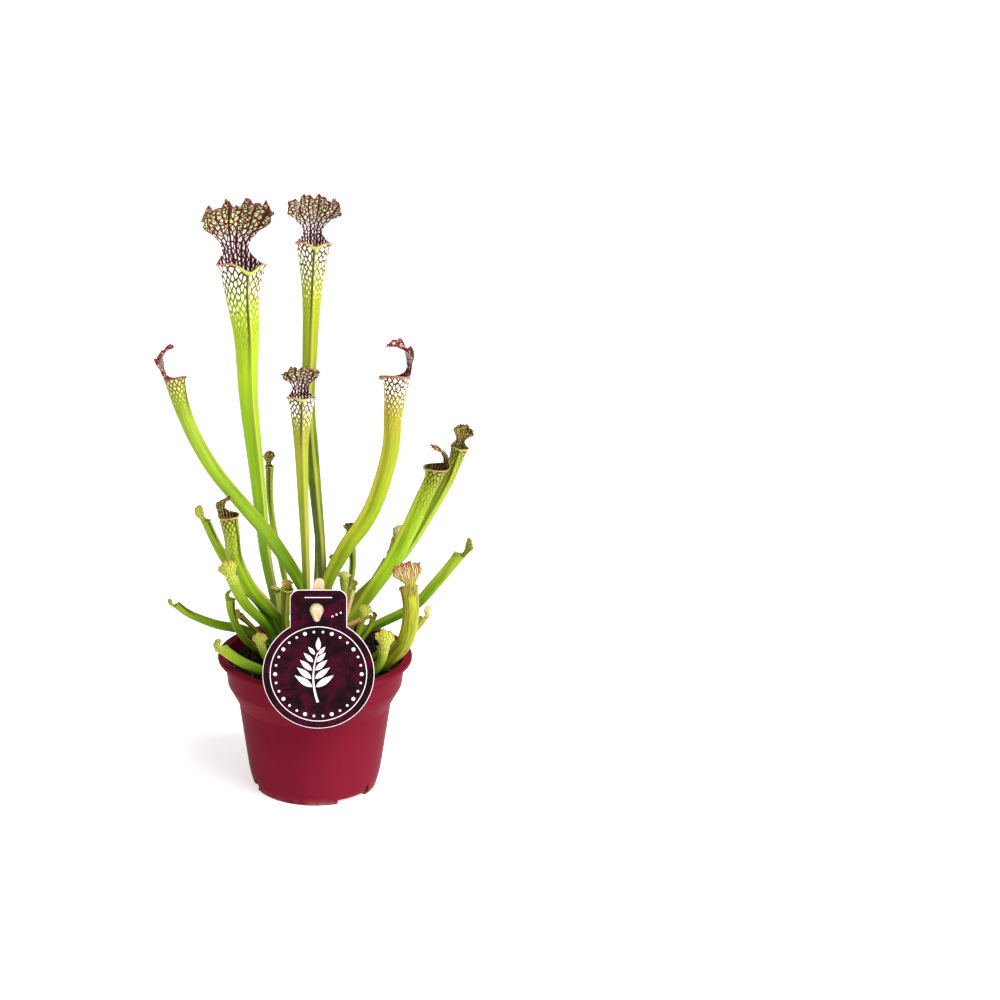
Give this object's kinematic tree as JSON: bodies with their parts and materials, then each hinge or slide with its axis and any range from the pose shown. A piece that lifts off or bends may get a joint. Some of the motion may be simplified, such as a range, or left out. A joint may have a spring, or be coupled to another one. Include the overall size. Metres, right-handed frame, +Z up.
{
  "type": "potted pitcher plant",
  "caption": "Trumpet pitcher plant in a round plastic nursery pot: slim hollow pitchers with frilled, veined hoods rise from dark peat, with a round care label on a wooden stick.",
  "frame": {"origin": "on the pot's axis, at the plane that the pot stands on", "axes": "+Z up along the pot's axis; -Y towards the side that carries the label; +X to the right when the label is seen from the front"},
  "size_m": [0.1898, 0.1289, 0.3664],
  "materials": {
    "pot": "burgundy moulded plastic, satin with a fine grain",
    "soil": "dark moist peat, crumbly and dull",
    "rhizome": "brown, fibrous, dull",
    "leaf_green": "waxy plant tissue, satin, with dark red veins towards the hood",
    "leaf_pale": "waxy young plant tissue, satin, pale yellow-green",
    "leaf_dry": "dried, papery, dull",
    "label": null,
    "stick": "pale bare wood, dull"
  },
  "bodies": {
    "root": {"pot": "pot", "soil": "soil", "rhizome": "rhizome", "pitcher_tall_left": "leaf_green", "pitcher_tall_centre": "leaf_green", "pitcher_far_left": "leaf_green", "pitcher_short_centre": "leaf_green", "pitcher_right": "leaf_green", "pitcher_right_low": "leaf_green", "pitcher_far_right": "leaf_green", "pitcher_back_left": "leaf_green", "pitcher_left_middle": "leaf_green", "pitcher_left_small": "leaf_pale", "pitcher_left_crinkled": "leaf_green", "pitcher_far_left_low": "leaf_green", "pitcher_left_curved": "leaf_green", "pitcher_front_left_small": "leaf_green", "pitcher_rim_left": "leaf_green", "pitcher_open_mouth": "leaf_green", "pitcher_pale_left": "leaf_pale", "pitcher_speckled_small": "leaf_green", "pitcher_back_right": "leaf_green", "pitcher_striped_back": "leaf_pale", "pitcher_back_low": "leaf_green", "pitcher_pale_right": "leaf_pale", "pitcher_tan_small": "leaf_pale", "pitcher_behind_small": "leaf_green", "leaf_thin_back": "leaf_green", "pitcher_frilled_right": "leaf_green", "pitcher_long_right": "leaf_green", "pitcher_right_small": "leaf_green", "pitcher_front_right": "leaf_green", "pitcher_curl_right": "leaf_green", "pitcher_crinkled_right": "leaf_green", "leaf_dry": "leaf_dry", "label": "label", "label_stick": "stick"}
  },
  "joints": []
}
